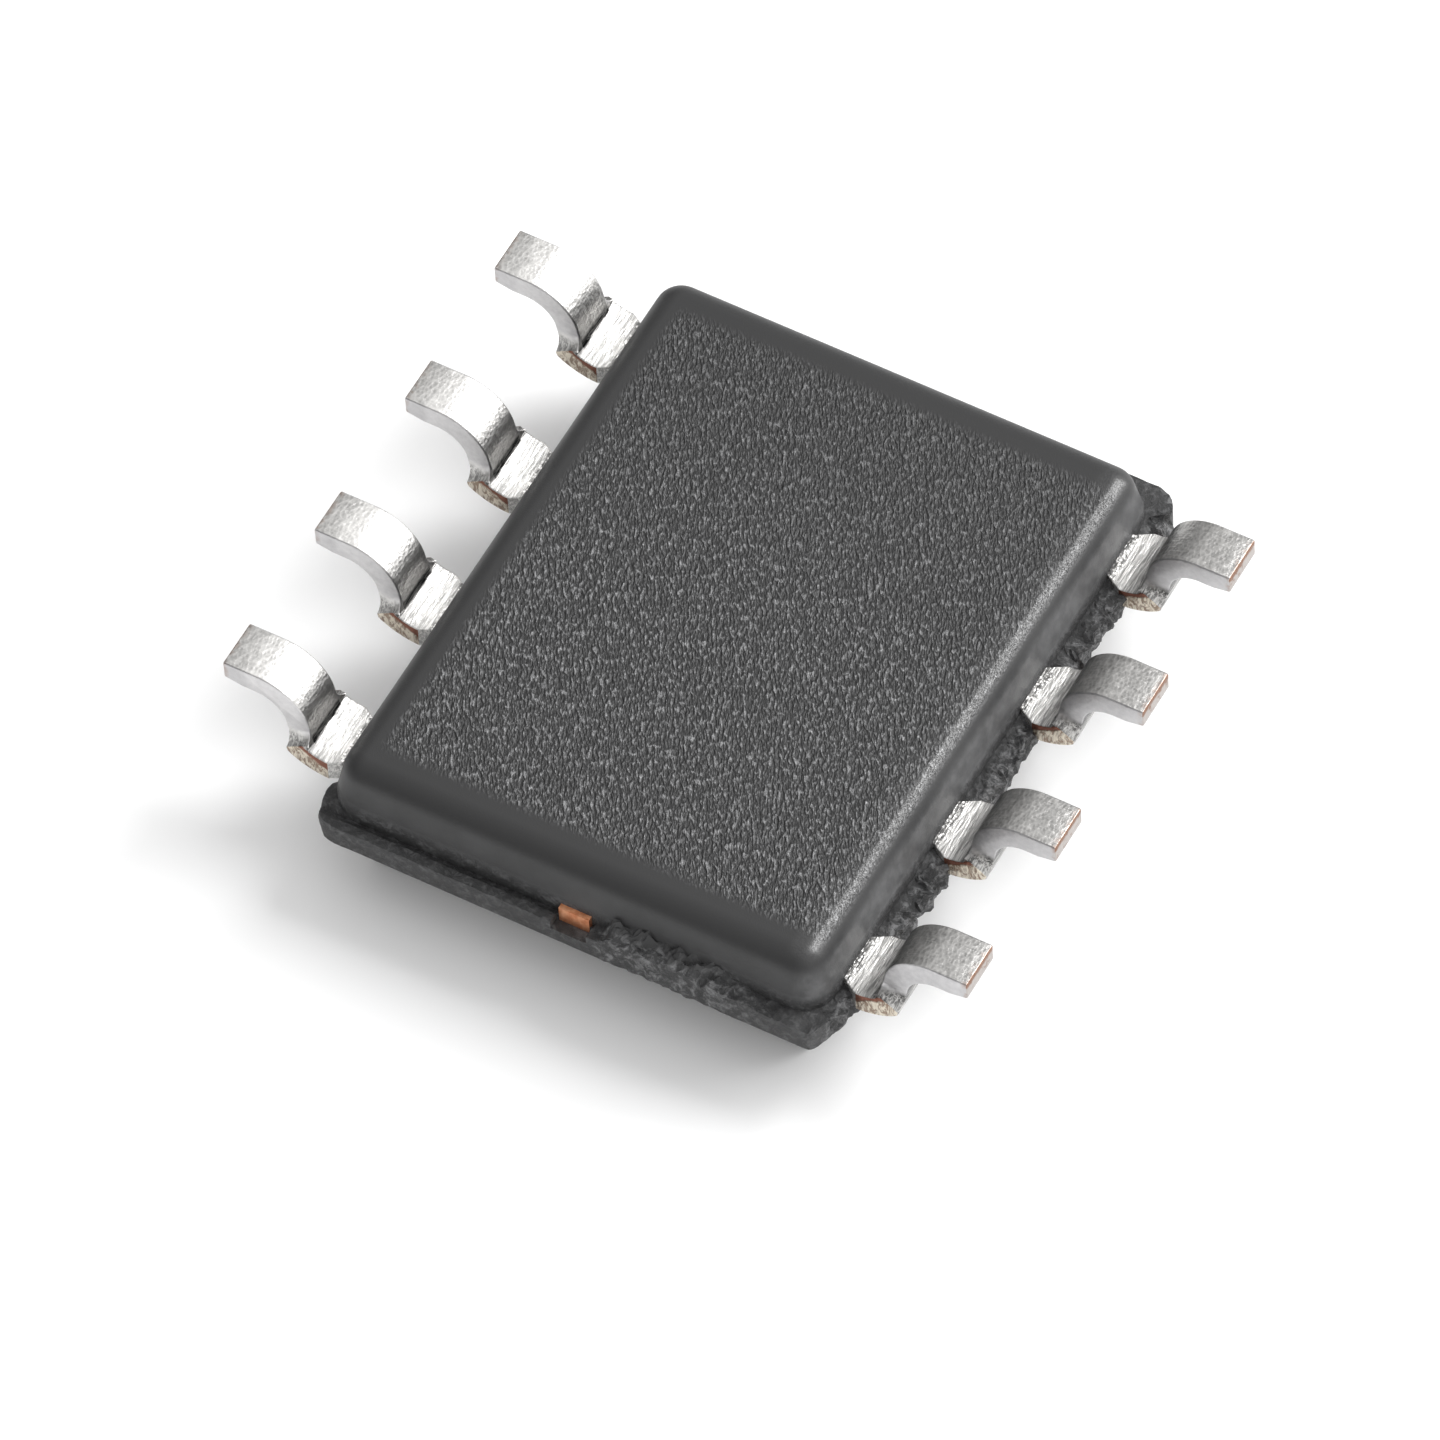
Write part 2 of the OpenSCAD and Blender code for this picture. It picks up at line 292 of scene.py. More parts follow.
# moulded compound; a pair says where a mask is 0 and where it is 1, in millimetres
compound = {
    "dark": (0.026, 0.026, 0.0265),
    # pale tone of the eroded marks and rim specks, partly painted glints and highlights, and a painted sheen
    # on the right wall
    "marksAndSheen": (0.36, 0.362, 0.368),
    "fibres": 44.0,  # scale of the eroded fibre marks
    "fibreTurn": 30,
    "fibreLength": 2.7,
    "fibreDepth": 0.014,
    "specular": 0.4,
    "coatRoughness": 0.22,
    "topFrom": (1.06, 1.17),  # up the wall
    "faceEnds": (2.16, 2.02),  # the eroded face, inside its smooth border
    "faceLeft": (-1.7, -1.58),
    "faceRight": (1.85, 1.8),
    "paleSpecksFadeBack": (-0.5, 2.3),  # fewer pale specks towards the back
    "streakInner": (1.6, 1.7),  # the shiny right edge
    "streakOuter": (1.85, 1.8),
    "streakFrom": (1.06, 1.15),
    "streakEnds": (2.34, 2.24),
    "ledgeTop": (0.92, 0.84),  # the rim at the parting line
    "ledgeBottom": (0.5, 0.58),
    # the right wall only is drawn paler, a painted sheen
    "wallFrom": (1.7, 1.85),
    "gateFrom": (-2.46, -2.5),
    "gateLeft": (0.22, 0.3),
    "gateRight": (1.6, 1.2),
    "flashFrom": (1.97, 2.02),
}


def compoundFinish():
    made = Finish("mouldedCompound")
    point = made.place()
    x, y, z = made.axes(point)
    slanted = made.slant(point, compound["fibreTurn"], (1.0, compound["fibreLength"], 1.0))
    fibres = made.grain(slanted, compound["fibres"], 1.0, 0.5, 0.3)
    second = made.grain(slanted, compound["fibres"] * 1.5, 1.0)
    fine = made.grain(point, compound["fibres"] * 2.4, 2.0, 0.6)
    broad = made.grain(point, 4.0, 2.0)
    patches = made.grain(point, 9.0, 3.0, 0.6)
    rough = made.grain(point, 15.0, 6.0, 0.72, 0.5)
    # where things are
    onTop = z.ramp(*compound["topFrom"])
    onFace = y.size().ramp(*compound["faceEnds"]) * x.ramp(*compound["faceLeft"])
    onFace = onFace * x.ramp(*compound["faceRight"]) * onTop
    streak = x.ramp(*compound["streakInner"]) * x.ramp(*compound["streakOuter"])
    streak = streak * z.ramp(*compound["streakFrom"]) * y.size().ramp(*compound["streakEnds"])
    ledge = z.ramp(*compound["ledgeTop"]) * z.ramp(*compound["ledgeBottom"])
    wall = (1.0 - onTop) * (1.0 - ledge) * x.ramp(*compound["wallFrom"])
    onGate = y.ramp(*compound["gateFrom"]) * x.ramp(*compound["gateLeft"]) * x.ramp(*compound["gateRight"])
    onBreak = onGate.most(x.ramp(*compound["flashFrom"]))
    # how pale and how high: eroded marks partly painted as glints, rim specks partly painted highlight,
    # painted sheen on the right wall
    # the eroded fibre marks, drawn pale partly as painted glints
    marksAndGlints = fibres.ramp(0.55, 0.7) * 0.7 + second.ramp(0.58, 0.74) * 0.6
    marksAndGlints = marksAndGlints * (0.4 + fine.ramp(0.42, 0.62) * 0.7)
    marksAndGlints = marksAndGlints * (1.0 - y.ramp(*compound["paleSpecksFadeBack"]) * 0.45)
    # the pale marks on the face, and rough rim specks made paler on the gate and flash: broken compound with
    # painted highlight
    marksAndSheen = onFace * marksAndGlints * 0.85 + ledge * rough.ramp(0.45, 0.7) * (0.2 + onBreak * 0.35)
    # a random broad tone below the top, and a painted sheen on the right wall, mottled by patches
    marksAndSheen = marksAndSheen + (1.0 - onTop) * broad * 0.1 + wall * (0.05 + patches.ramp(0.3, 0.75) * 0.13)
    height = onFace * ((fibres - 0.5) * 1.7 + (second - 0.5)) + ledge * rough * 2.0 + (fine - 0.5) * 0.08
    return made.surface(
        Base_Color=made.blend(marksAndSheen, compound["dark"], compound["marksAndSheen"]),
        Roughness=0.44 - streak * 0.1 + ledge * 0.1 + broad * 0.08,
        Specular_IOR_Level=compound["specular"],
        Coat_Weight=streak * (0.15 + fine.ramp(0.44, 0.58) * 0.85),
        Coat_Roughness=compound["coatRoughness"],
        Normal=made.bump(height, compound["fibreDepth"]),
    )


# tin plating; pairs as above, and distances out from the middle but for the two feet
plating = {
    "deep": (0.02, 0.02, 0.02),
    "bright": (1.0, 0.985, 0.96),
    # a painted reflection of the floor, for the leads' sides
    "paintedFloorReflection": (0.5, 0.495, 0.52),
    "copper": (0.25, 0.145, 0.1),
    "pitch": 1.27,
    "depth": 0.006,
    "flank": (0.178, 0.187),  # across a lead
    "flankFrom": (0.92, 1.0),
    "legFrom": (0.9, 0.95),
    "shoulder": (2.03, 1.99),
    "ramp": (2.1, 2.17),
    # where the painted shade of the crease and of the inner bend lies
    "creaseHigh": 0.91,
    "crease": (0.02, 0.05),  # above and below that height
    "creaseInner": (2.2, 2.235),
    "creaseOuter": (2.3, 2.265),
    "creaseAcross": (0.188, 0.182),
    "bendHigh": 1.08,
    "bend": (0.1, 0.26),
    "bendOuter": (2.7, 2.5),
    # the right feet get painted shade, the left feet a painted highlight that fades towards the toe
    "rightFoot": (2.3, 2.5),
    "leftFoot": (-2.2, -2.4),
    "leftHighlightFades": (2.72, 2.78),
    "toeSmear": (2.87, 2.92),
}


def tinFinish():
    # pitted white at the body, drawn grey up the ramp, painted shade in the crease and on the inner bend,
    # painted highlight on the left feet and painted shade on the right feet, a painted floor reflection on
    # the sides, mottled on the leg and foot
    made = Finish("tinPlating")
    point = made.place()
    x, y, z = made.axes(point)
    out = x.size()
    across = ((y / plating["pitch"]).rest() - 0.5).size() * plating["pitch"]
    wander = made.grain(made.stretch(point, (2.0, 9.0, 2.0)), 1.0, 3.0, 0.6) - 0.5
    acrossLead = made.grain(made.stretch(point, (60.0, 6.0, 40.0)), 1.0, 4.0, 0.6, 0.8)
    alongLead = made.grain(made.stretch(point, (5.0, 55.0, 9.0)), 1.0, 5.0, 0.6, 0.4)
    crystals = made.cells(made.stretch(point, (1.0, 0.7, 1.0)), 40.0)
    dots = made.cells(point, 38.0)
    spots = made.grain(point, 18.0, 4.0, 0.65)
    # where things are
    onLeg = z.ramp(*plating["legFrom"])
    onShoulder = 1.0 - onLeg
    flank = across.ramp(*plating["flank"]) * z.ramp(*plating["flankFrom"])
    offFlank = 1.0 - flank
    shoulder = (out + wander * 0.08).ramp(*plating["shoulder"]) * onShoulder
    ramp = (out + wander * 0.03).ramp(*plating["ramp"]) * onShoulder
    # painted shade in the crease
    crease = 1.0 - (z - plating["creaseHigh"]).size().ramp(*plating["crease"])
    crease = crease * out.ramp(*plating["creaseInner"]) * out.ramp(*plating["creaseOuter"])
    crease = crease * across.ramp(*plating["creaseAcross"])
    # painted shade on the inner bend, deeper on the right leads
    bend = 1.0 - (z - plating["bendHigh"]).size().ramp(*plating["bend"])
    bend = bend * out.ramp(*plating["bendOuter"]) * offFlank
    # painted shade on the right feet, painted highlight on the left feet
    rightFoot = x.ramp(*plating["rightFoot"]) * offFlank
    leftFoot = x.ramp(*plating["leftFoot"]) * onLeg
    leftHighlightFades = (out + wander * 0.2).ramp(*plating["leftHighlightFades"])
    smear = (out + (spots - 0.5) * 0.08).ramp(*plating["toeSmear"])
    # how light, from 0 to 1, with painted shade and highlights in it
    light = 0.5 + onShoulder * (acrossLead.ramp(0.4, 0.62) * 0.4 - 0.04)
    light = light + onLeg * (alongLead - 0.5) * 0.2
    light = light + shoulder * (0.42 - dots.ramp(0.34, 0.46) * 0.7) - ramp * 0.16
    # painted shade in the crease, and on the inner bend, deeper on the right leads
    light = light - crease * 0.36 - bend * (0.1 + x.ramp(-1.0, 1.0) * 0.27)
    light = light + onLeg * offFlank * ((crystals - 0.4) * 0.2 + (spots - 0.5) * 0.3)
    light = light + flank * (spots - 0.5) * 0.6
    # painted shade on the right feet, painted highlight on the left feet, fading towards the toe
    light = light - rightFoot * 0.1 + leftFoot * (0.28 - leftHighlightFades * 0.2)
    tin = made.blend(light, plating["deep"], plating["bright"])
    # painted floor reflection on the leads' sides
    tin = made.blend(flank * 0.5, tin, plating["paintedFloorReflection"])
    worked = alongLead * 0.6 + crystals * 0.4 + spots * 0.6
    height = onShoulder * (acrossLead + shoulder * dots) + onLeg * (1.0 - flank * 0.7) * worked
    return made.surface(
        Base_Color=made.blend(smear * spots.ramp(0.4, 0.6) * 0.5, tin, plating["copper"]),
        Metallic=1.0,
        Roughness=0.3 + alongLead * 0.12,
        Normal=made.bump(height, plating["depth"]),
    )


# sheared copper, at the ends of the stubs and the toes
sheared = {
    "copper": (0.25, 0.145, 0.1),
    "red": (0.27, 0.12, 0.085),
    "brown": (0.2, 0.085, 0.055),
    "umber": (0.32, 0.24, 0.18),
    "tan": (0.78, 0.71, 0.6),
    "pale": (0.44, 0.405, 0.385),
    "metal": 0.85,
    "depth": 0.012,
    "rampFrom": 2.08,
    "rampSlope": 0.62,  # the torn part's edge climbs with the ramp
    "torn": (0.765, 0.735),
    "toeFrom": (2.86, 2.9),
    "toeEdge": (1.34, 1.37),
}


def cutFinish():
    # a stub has a smooth brown shear above a torn, smeared break; the toe is pale with a copper edge
    made = Finish("shearedCopper")
    point = made.place()
    x, _, z = made.axes(point)
    tear = made.grain(made.stretch(point, (20.0, 20.0, 9.0)), 1.0, 4.0, 0.65)
    streaks = made.grain(made.stretch(point, (26.0, 8.0, 11.0)), 1.0, 4.0, 0.7, 1.0)
    spots = made.grain(point, 18.0, 3.0, 0.6)
    atToe = x.size().ramp(*sheared["toeFrom"])
    level = z - sheared["rampSlope"] * (x.size() - sheared["rampFrom"]).most(0.0)
    torn = (1.0 - atToe) * (level + (spots - 0.5) * 0.04).ramp(*sheared["torn"])
    smeared = torn * streaks.ramp(0.42, 0.56)
    stub = made.blend(torn, made.blend(spots, sheared["brown"], sheared["red"]), sheared["umber"])
    stub = made.blend(smeared, stub, sheared["tan"])
    edge = (z + (spots - 0.5) * 0.06).ramp(*sheared["toeEdge"])
    toe = made.blend((edge + spots.ramp(0.55, 0.66) * 0.6).least(1.0), sheared["pale"], sheared["copper"])
    return made.surface(
        Base_Color=made.blend(atToe, stub, toe),
        Metallic=sheared["metal"],
        Roughness=0.34 + spots * 0.2,
        Normal=made.bump(tear + torn * streaks, sheared["depth"]),
    )


# bare copper, on the paddle and the ends of its tie bars
bare = {"dark": (0.72, 0.27, 0.13), "light": (0.9, 0.46, 0.26), "metal": 0.85, "depth": 0.006}


def copperFinish():
    made = Finish("bareCopper")
    tear = made.grain(made.stretch(made.place(), (18.0, 18.0, 9.0)), 1.0, 4.0, 0.65)
    return made.surface(
        Base_Color=made.blend(tear.ramp(0.35, 0.7), bare["dark"], bare["light"]),
        Metallic=bare["metal"],
        Roughness=0.38 + tear * 0.15,
        Normal=made.bump(tear, bare["depth"]),
    )


# the sealed pieces: two tones of a fine grain
glue = {"dark": (0.4, 0.4, 0.41), "light": (0.66, 0.66, 0.67), "metal": 0.3, "rough": 0.5, "grain": 20.0}
silicon = {"dark": (0.13, 0.14, 0.17), "light": (0.2, 0.21, 0.26), "metal": 0.7, "rough": 0.12, "grain": 3.0}
gold = {"dark": (0.8, 0.55, 0.16), "light": (0.95, 0.72, 0.3), "metal": 1.0, "rough": 0.2, "grain": 40.0}


def plainFinish(name, look):
    made = Finish(name)
    grain = made.grain(made.place(), look["grain"], 4.0, 0.6)
    return made.surface(
        Base_Color=made.blend(grain, look["dark"], look["light"]),
        Metallic=look["metal"],
        Roughness=look["rough"] + grain * 0.1,
        Normal=made.bump(grain, 0.002, 0.5),
    )


compoundMaterial = compoundFinish()
tinMaterial = tinFinish()
cutMaterial = cutFinish()
copperMaterial = copperFinish()
glueMaterial = plainFinish("silverGlue", glue)
siliconMaterial = plainFinish("polishedSilicon", silicon)
goldMaterial = plainFinish("drawnGold", gold)
print("finishes made")


# moulded body
moulded = {
    "side": 1.95,
    "end": 2.45,
    "frameLow": 0.65,
    "frameHigh": 0.84,
    "top": 1.23,
    "corner": 0.25,
    "boardDraft": 13,
    "boardEdge": 0.18,
    "markingDraft": 17,
    "markingEdge": 0.05,
    "markPlace": (-1.05, -1.55),
    "markRadius": 0.3,
    "markDepth": 0.05,
    "sharpest": 28,  # the steepest angle that is shaded smooth
}


def uprightEdge(edge):
    return abs(edge.verts[0].co.z - edge.verts[1].co.z) > 0.1


def makeBlock():
    side, end = moulded["side"], moulded["end"]
    low, high, top = moulded["frameLow"], moulded["frameHigh"], moulded["top"]
    block = addBlock("mouldedBody", (-side, -end, low), (side, end, high))
    editMode()
    pickParts("EDGE", uprightEdge)
    bpy.ops.mesh.bevel(offset=moulded["corner"], segments=10, affect="EDGES")
    # the board half: the top face drawn in and raised, then its edge rounded
    inset = (top - high) * math.tan(math.radians(moulded["boardDraft"]))
    pickParts("FACE", lambda f: f.normal.z > 0.9)
    bpy.ops.mesh.inset(thickness=inset, depth=0)
    bpy.ops.transform.translate(value=(0, 0, top - high))
    pickParts("EDGE", lambda e: all(near(v.co.z, top) for v in e.verts))
    turn = math.radians(45 - moulded["boardDraft"] / 2)
    bpy.ops.mesh.bevel(offset=moulded["boardEdge"] * math.tan(turn), segments=12, affect="EDGES")
    # the marking half below
    inset = low * math.tan(math.radians(moulded["markingDraft"]))
    pickParts("FACE", lambda f: f.normal.z < -0.9)
    bpy.ops.mesh.inset(thickness=inset, depth=0)
    bpy.ops.transform.translate(value=(0, 0, -low))
    pickParts("EDGE", lambda e: all(near(v.co.z, 0) for v in e.verts))
    bpy.ops.mesh.bevel(offset=moulded["markingEdge"], segments=5, affect="EDGES")
    objectMode()
    return block


def cutMark(block):
    # the round mark of lead 1, cut from below
    length = 0.4
    middle = (*moulded["markPlace"], moulded["markDepth"] - length / 2)
    deselectAll()
    radius = moulded["markRadius"]
    bpy.ops.mesh.primitive_cylinder_add(vertices=96, radius=radius, depth=length, location=middle)
    cutter = bpy.context.object
    bpy.ops.object.transform_apply(location=True, rotation=True, scale=True)
    subtract(block, cutter)


# rim, broken gate and flash at the parting line
rim = {
    "left": -1.935,
    "right": 2.085,
    "end": 2.58,
    "low": 0.575,
    "high": 0.775,
    "corner": 0.2,
    "wall": 0.32,  # what is left round the core
    "cell": 0.024,  # between the cuts that give the surface its points
    "shelf": 0.13,  # how far it stands out from the walls
    "skin": 0.02,  # how far inside the walls it is still shaped
    "frontSkin": 0.03,
    "rough": 0.012,
    "gateLeft": 0.27,
    "gateRight": 1.55,
    "gateFades": (0.06, 0.5),  # lengths at its left and right
    "gateFrom": -2.35,
    "gateHeight": 0.12,
    "gateSlope": 0.4,  # share of the height lost towards the outside
    "gateRough": 0.06,
    "gatePush": 0.02,
    "trenchRight": 0.2,
    "trench": 0.045,
    "trenchSlope": 2.4,
    "flash": (1.95, 0.06),  # where it starts, and the length over which it grows
    "flashRough": 0.025,
    "flashTeeth": 0.09,
    "flashDrift": 0.02,
    "flashReach": 0.012,
    "spurFrom": (-1.7, -2.2),  # the sharp corner beside lead 1
    "spurFades": (0.15, 0.06),
    "spurReach": 0.06,
    "spurRough": 0.02,
    "spurTip": 0.015,
    "spurTipFrom": (2.35, 0.15),
    "narrow": 0.075,  # lost at the front end of the right side
    "narrowFrom": (2.05, 0.35),
    "mergeWithin": 0.0016,
    "flatWithin": 0.0005,
}


def makeRim():
    # a ring whose faces are cut into a fine grid
    left, right, end = rim["left"], rim["right"], rim["end"]
    low, high, wall = rim["low"], rim["high"], rim["wall"]
    ring = addBlock("partingRim", (left, -end, low), (right, end, high))
    editMode()
    pickParts("EDGE", uprightEdge)
    bpy.ops.mesh.bevel(offset=rim["corner"], segments=8, affect="EDGES")
    objectMode()
    core = addBlock("rimCore", (left + wall, wall - end, low - 0.1), (right - wall, end - wall, high + 0.1))
    subtract(ring, core)
    editMode()
    for axis, first, last in ((0, left, right), (1, -end, end), (2, low, high)):
        steps = round((last - first) / rim["cell"])
        normal = [0, 0, 0]
        normal[axis] = 1
        for step in range(1, steps):
            point = [0, 0, 0]
            point[axis] = first + (last - first) * step / steps
            cutAcross(point, normal)
    bpy.ops.mesh.select_all(action="SELECT")
    bpy.ops.mesh.quads_convert_to_tris()
    objectMode()
    return ring


def share(value, start, length):
    # 0 up to the start, then up to 1 over the length
    return min(max((value - start) / length, 0), 1)


def gateWeight(co):
    # 1 on the broken gate at the front end, fading at its ends
    if co.y >= rim["gateFrom"]:
        return 0.0
    leftFade, rightFade = rim["gateFades"]
    return share(co.x, rim["gateLeft"], leftFade) * share(-co.x, -rim["gateRight"], rightFade)


def flashWeight(co):
    # 1 on the right side, but not round the corners
    if abs(co.y) >= moulded["end"] - 0.05:
        return 0.0
    return share(co.x, *rim["flash"])


def onOutside(co):
    # outside the walls, or at the spur
    side, end = moulded["side"] - rim["skin"], moulded["end"] - rim["skin"]
    return abs(co.y) > end or co.x > side or (co.x < -1.85 and co.y < rim["spurFrom"][1])


def rimMove(co):
    # how far a point of the rim is pushed by the rough noises
    side, end = moulded["side"], moulded["end"]
    upper = share(co.z, rim["low"], rim["high"] - rim["low"])
    outward = share(-co.y, end, rim["shelf"])
    gate, flash = gateWeight(co), flashWeight(co)
    # fine grit, broad waves, and teeth along the right side
    fine = noise.fractal(co * 14, 0.9, 2.1, 4)
    broad = noise.noise(co * 4.3)
    jag = noise.fractal(Vector((co.y * 9, co.x * 2, co.z * 5)), 0.8, 2.2, 4)
    move = Vector((0, 0, 0))
    move.z += upper * fine * (rim["rough"] + rim["gateRough"] * gate + rim["flashRough"] * flash)
    if co.y < rim["frontSkin"] - end:
        if gate > 0:
            move.z += upper * gate * rim["gateHeight"] * (1 - rim["gateSlope"] * outward)
            move.y += gate * fine * rim["gatePush"]
        elif co.x < rim["trenchRight"]:
            move.z -= upper * rim["trench"] * max(1 - rim["trenchSlope"] * outward, 0)
    teeth = rim["flashTeeth"] * jag + rim["flashDrift"] * broad + rim["flashReach"]
    move.x += flash * teeth * (0.5 + 0.5 * upper)
    spurLeft, spurFront = rim["spurFrom"]
    leftFade, frontFade = rim["spurFades"]
    spur = share(-co.x, -spurLeft, leftFade) * share(-co.y, -spurFront, frontFade)
    move.x -= (rim["spurReach"] + rim["spurRough"] * jag) * spur
    move.y -= rim["spurTip"] * spur * share(-co.y, *rim["spurTipFrom"])
    narrowing = share(-co.y, *rim["narrowFrom"]) * share(co.x, side - rim["skin"], rim["shelf"])
    move.x -= rim["narrow"] * narrowing
    return move


def shapeRim(ring):
    for vertex in ring.data.vertices:
        if onOutside(vertex.co):
            vertex.co = vertex.co + rimMove(vertex.co.copy())


def joinRim(block, ring):
    applyModifier(block, "BOOLEAN", operation="UNION", object=ring, solver="MANIFOLD")
    bpy.data.objects.remove(ring)
    editMode()
    bpy.ops.mesh.select_all(action="SELECT")
    bpy.ops.mesh.remove_doubles(threshold=rim["mergeWithin"])
    bpy.ops.mesh.dissolve_degenerate(threshold=rim["flatWithin"])
    objectMode()


# the notches where the tie bars were cut off, one at each end
notch = {"left": -0.09, "right": 0.19, "from": 2.485, "to": 2.7, "low": 0.695, "high": 0.95}


def cutNotches(block):
    for way in (-1, 1):
        first, last = sorted((way * notch["from"], way * notch["to"]))
        low = (notch["left"], first, notch["low"])
        high = (notch["right"], last, notch["high"])
        subtract(block, addBlock("notchCutter", low, high))


body = makeBlock()
cutMark(body)
ring = makeRim()
shapeRim(ring)
joinRim(body, ring)
cutNotches(body)
dress(body.data, compoundMaterial)
finishPiece(body, "body", moulded["sharpest"])
print("body made:", len(body.data.polygons), "faces")


# leads: one is drawn on the +X side, at y 0, and copied
lead = {
    "side": 1.95,  # the body's wall
    "low": 0.65,
    "thickness": 0.19,
    "rampStart": 0.13,
    "rampRadius": 0.28,
    "rampTurn": 33,
    "lean": 10,
    "footHigh": 1.40,
    "footBend": 0.2,
    "toe": 2.92,
    "toeLength": 0.14,
    "toeRise": 0.03,
    "fingerEnd": 1.38,
    "headEnd": 1.66,
    "headTaper": 0.07,
    "width": 0.38,
    "neck": 0.39,
    "head": 0.52,
    "stub": 0.54,
    "stubRise": 0.03,  # height of the stub's end above the crease
    "stubSlope": 29,
    "shelf": (0.04, 0, 0.005),  # how far the stub's inner corners are drawn out
    "shelfFrom": 0.17,  # from the middle of the strip
    "fillet": 0.1,
    "bendShare": 0.995,  # of a bend's whole tangent, so that two bends don't meet
    "mergeWithin": 0.0012,
    "edge": 0.012,
    "edgeAngle": 32,
    "sharpest": 40,
    "inRow": 4,
    "pitch": 1.27,
}


def bevelEdge(place, offset):
    # rounds one edge of the section, all across the strip
    pickParts("EDGE", lambda e: all(near(v.co.x, place[0]) and near(v.co.z, place[1]) for v in e.verts))
    bpy.ops.mesh.bevel(offset=offset, segments=14, affect="EDGES")


def moveEdge(at, to):
    # moves the vertices at one place of the section to another place
    pickParts("VERT", lambda v: near(v.co.x, at[0]) and near(v.co.z, at[1]))
    bpy.ops.transform.translate(value=(to[0] - at[0], 0, to[1] - at[1]))


def extend(inside, outside, fromInside, fromOutside):
    # extrudes the strip's end face well clear and then sets its two edges
    clear = 5
    x, z = [(a + b) / 2 for a, b in zip(fromInside, fromOutside)]

    def isEnd(face):
        middle = faceMiddle(face)
        return near(middle.x, x) and near(middle.z, z) and abs(face.normal.y) < 0.5

    pickParts("FACE", isEnd)
    bpy.ops.mesh.extrude_region_move(TRANSFORM_OT_translate={"value": (clear, 0, 0)})
    moveEdge((fromInside[0] + clear, fromInside[1]), inside)
    moveEdge((fromOutside[0] + clear, fromOutside[1]), outside)


def makeLead():
    # a straight strip bent twice: a round ramp up to a crease, and a round bend to the foot
    thickness, lean, turn = lead["thickness"], math.radians(lead["lean"]), math.radians(lead["rampTurn"])
    low, high = lead["low"], lead["low"] + thickness
    innerRadius, outerRadius = lead["rampRadius"], lead["rampRadius"] + thickness
    # where the section's edges meet before they are rounded, as x and z
    rampX, rampZ = lead["side"] + lead["rampStart"], high + innerRadius
    crease = (rampX + innerRadius * math.sin(turn), rampZ - innerRadius * math.cos(turn))
    outerTurn = math.asin((thickness + innerRadius * math.sin(turn + lean)) / outerRadius) - lean
    corner = (rampX + outerRadius * math.sin(outerTurn), rampZ - outerRadius * math.cos(outerTurn))
    rampIn = innerRadius * math.tan(turn / 2)
    rampOut = outerRadius * math.tan(outerTurn / 2)
    insideOne, outsideOne = (rampX + rampIn, high), (rampX + rampOut, low)
    footHigh, footLow = lead["footHigh"], lead["footHigh"] - thickness
    insideTwo = (crease[0] + (footHigh - crease[1]) * math.tan(lean), footHigh)
    legX = crease[0] + thickness * math.cos(lean)
    legZ = crease[1] - thickness * math.sin(lean)
    outsideTwo = (legX + (footLow - legZ) * math.tan(lean), footLow)
    toe = lead["toe"]

    wide, straightEnd = lead["stub"] / 2, 2.3
    piece = addBlock("lead", (lead["fingerEnd"], -wide, low), (straightEnd, wide, high))
    editMode()
    moveEdge((straightEnd, high), insideOne)
    moveEdge((straightEnd, low), outsideOne)
    extend(crease, corner, insideOne, outsideOne)
    extend(insideTwo, outsideTwo, crease, corner)
    extend((toe, footHigh), (toe, footLow), insideTwo, outsideTwo)
    footTurn = math.tan(math.radians(90 - lead["lean"]) / 2)
    bevelEdge(insideOne, rampIn * lead["bendShare"])
    bevelEdge(outsideOne, rampOut * lead["bendShare"])
    bevelEdge(insideTwo, (lead["footBend"] + thickness) * footTurn)
    bevelEdge(outsideTwo, lead["footBend"] * footTurn)
    cutAcross((toe - lead["toeLength"], 0, 0), (1, 0, 0))
    moveEdge((toe, footLow), (toe, footLow + lead["toeRise"]))
    objectMode()

    rise = lead["stubRise"]
    stubTop = Vector((crease[0] + rise * math.sin(lean), 0, crease[1] + rise * math.cos(lean)))
    for way in (-1, 1):
        clearLeg(piece, stubTop, way)
        clearNeck(piece, rampX, way)
    drawShelf(piece, stubTop, crease[1])
    finishShears(piece)
    angle = math.radians(lead["edgeAngle"])
    edges = {"width": lead["edge"], "segments": 3, "limit_method": "ANGLE", "angle_limit": angle}
    applyModifier(piece, "BEVEL", use_clamp_overlap=False, **edges)
    return piece


def clearLeg(piece, stubTop, way):
    # cuts the strip down to the leg's width above a stub's sloping end, with a fillet between them
    reach, height = 0.3, 1.2
    cutter = addBlock("legCutter", (-1, min(0, way * reach), 0), (1, max(0, way * reach), height))
    editMode()
    pickParts("EDGE", lambda e: near(edgeMiddle(e).y, 0) and near(edgeMiddle(e).z, 0))
    bpy.ops.mesh.bevel(offset=lead["fillet"], segments=9, affect="EDGES")
    objectMode()
    cutter.rotation_euler = (0, math.radians(lead["stubSlope"]), 0)
    cutter.location = (stubTop.x, way * lead["width"] / 2, stubTop.z)
    bpy.ops.object.transform_apply(location=True, rotation=True, scale=True)
    subtract(piece, cutter)


